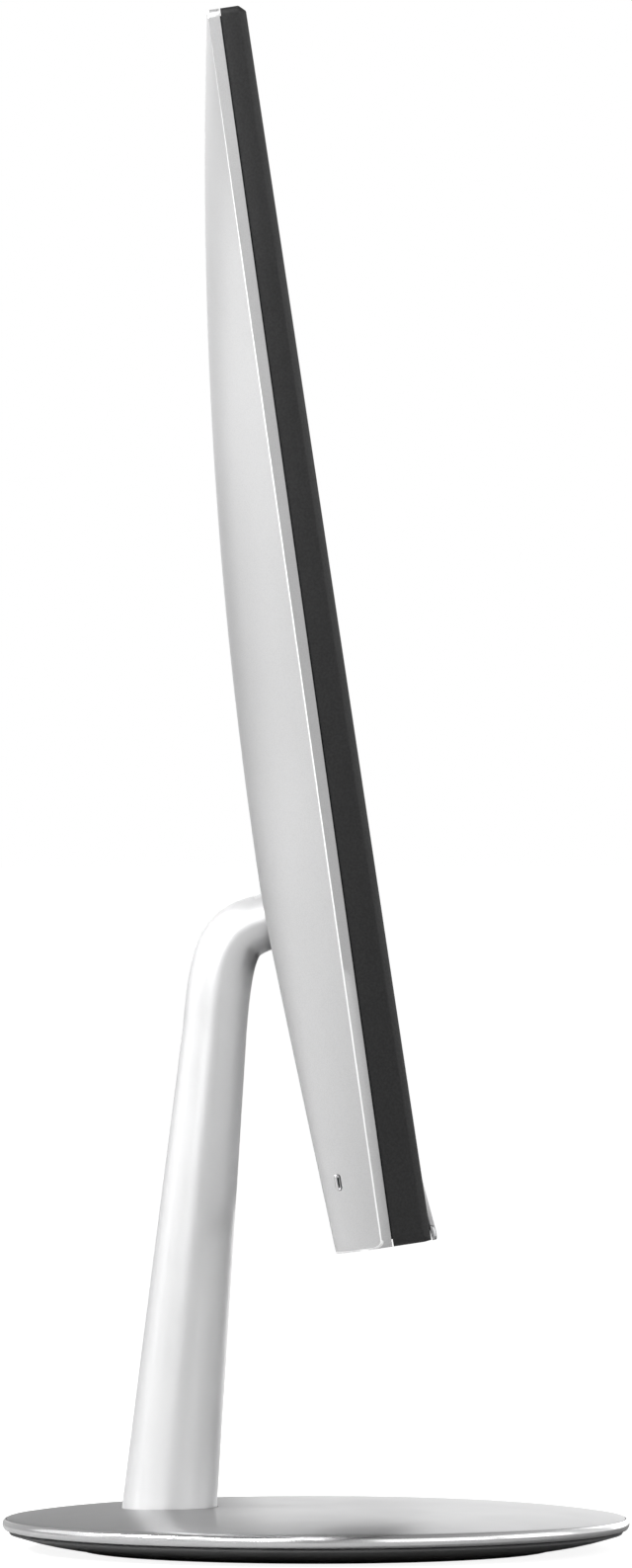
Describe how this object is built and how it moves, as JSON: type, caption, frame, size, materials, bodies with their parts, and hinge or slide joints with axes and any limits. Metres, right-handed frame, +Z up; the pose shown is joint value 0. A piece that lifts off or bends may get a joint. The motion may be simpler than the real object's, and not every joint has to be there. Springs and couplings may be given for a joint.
{
  "type": "all in one pc",
  "caption": "All-in-one desktop computer: a wide thin screen head with a domed silver back, tilting on a tapered round arm over a weighted round base.",
  "frame": {"origin": "on the supporting surface, at the centre of the round base", "axes": "+X to the right of someone behind the computer looking forwards, along the screen's width; the screen faces -Y; +Z up"},
  "size_m": [0.541, 0.19, 0.4502],
  "materials": {
    "bezel_black": "fine satin black moulding",
    "screen": "dark anti-glare screen glass, unlit",
    "silver_cover": "silver paint, satin, with a little metallic flake",
    "satin_metal": "smooth satin silver",
    "bright_metal": "polished",
    "steel": "zinc-plated sheet",
    "light_metal": "die-cast, bare",
    "copper": "bare copper",
    "circuit_board": "green solder mask",
    "black_plastic": "black moulding",
    "lens": "dark coated glass",
    "cable_black": "matt black sheath",
    "rubber": "matt black",
    "iron": "dark cast"
  },
  "bodies": {
    "stand": {"hinge_shaft": "steel", "hinge_nut": "steel", "friction_washer_1": "copper", "friction_washer_2": "copper", "hinge_knuckle": "steel", "stand_arm": "satin_metal", "arm_foot": "iron", "base_plate": "satin_metal", "base_trim_ring": "bright_metal", "base_underside": "black_plastic", "base_weight": "iron", "foot_ring": "rubber", "base_screw_1": "steel", "base_screw_2": "steel", "base_screw_3": "steel"},
    "head": {"front_bezel": "bezel_black", "chin_trim": "bright_metal", "lcd_panel": "screen", "backlight_unit": "light_metal", "chassis_plate": "steel", "rear_cover": "silver_cover", "arm_opening_trim": "black_plastic", "lock_slot_insert": "steel", "webcam_board": "circuit_board", "webcam_lens": "lens", "power_switch_board": "circuit_board", "mainboard": "circuit_board", "processor": "circuit_board", "cold_plate": "copper", "heat_pipe": "copper", "fin_stack": "light_metal", "fan_housing": "black_plastic", "memory_module_1": "circuit_board", "memory_module_2": "circuit_board", "memory_socket_1": "black_plastic", "memory_socket_2": "black_plastic", "ssd_module": "circuit_board", "wireless_card": "circuit_board", "coin_cell": "steel", "io_plate": "black_plastic", "video_port": "steel", "usb_port_1": "steel", "usb_port_2": "steel", "usb_port_3": "steel", "usb_port_4": "steel", "network_port": "steel", "audio_jack": "black_plastic", "power_inlet": "black_plastic", "hard_drive": "light_metal", "drive_tray": "steel", "speaker_left": "black_plastic", "speaker_right": "black_plastic", "antenna_left": "copper", "antenna_right": "copper", "display_cable": "cable_black", "fan_cable": "cable_black", "drive_cable": "cable_black", "hinge_bracket": "steel"},
    "button": {"power_button": "bright_metal"},
    "fan": {"fan_rotor": "black_plastic"}
  },
  "joints": [
    {"name": "head_tilt", "type": "hinge", "parent": "stand", "child": "head", "pos_m": [0, 0.003, 0.1955], "axis": [-1, 0, 0], "range_deg": [-13.6, 16.4]},
    {"name": "power_button", "type": "slide", "parent": "head", "child": "button", "axis": [0, 0.1492, 0.9888], "range_m": [0, 0.0009], "stiffness_N_per_m": 600, "springref_m": -0.0005},
    {"name": "fan_spin", "type": "hinge", "parent": "head", "child": "fan", "pos_m": [0.05, 0.01065, 0.27636], "axis": [0, 0.9888, -0.1492], "continuous": true}
  ]
}
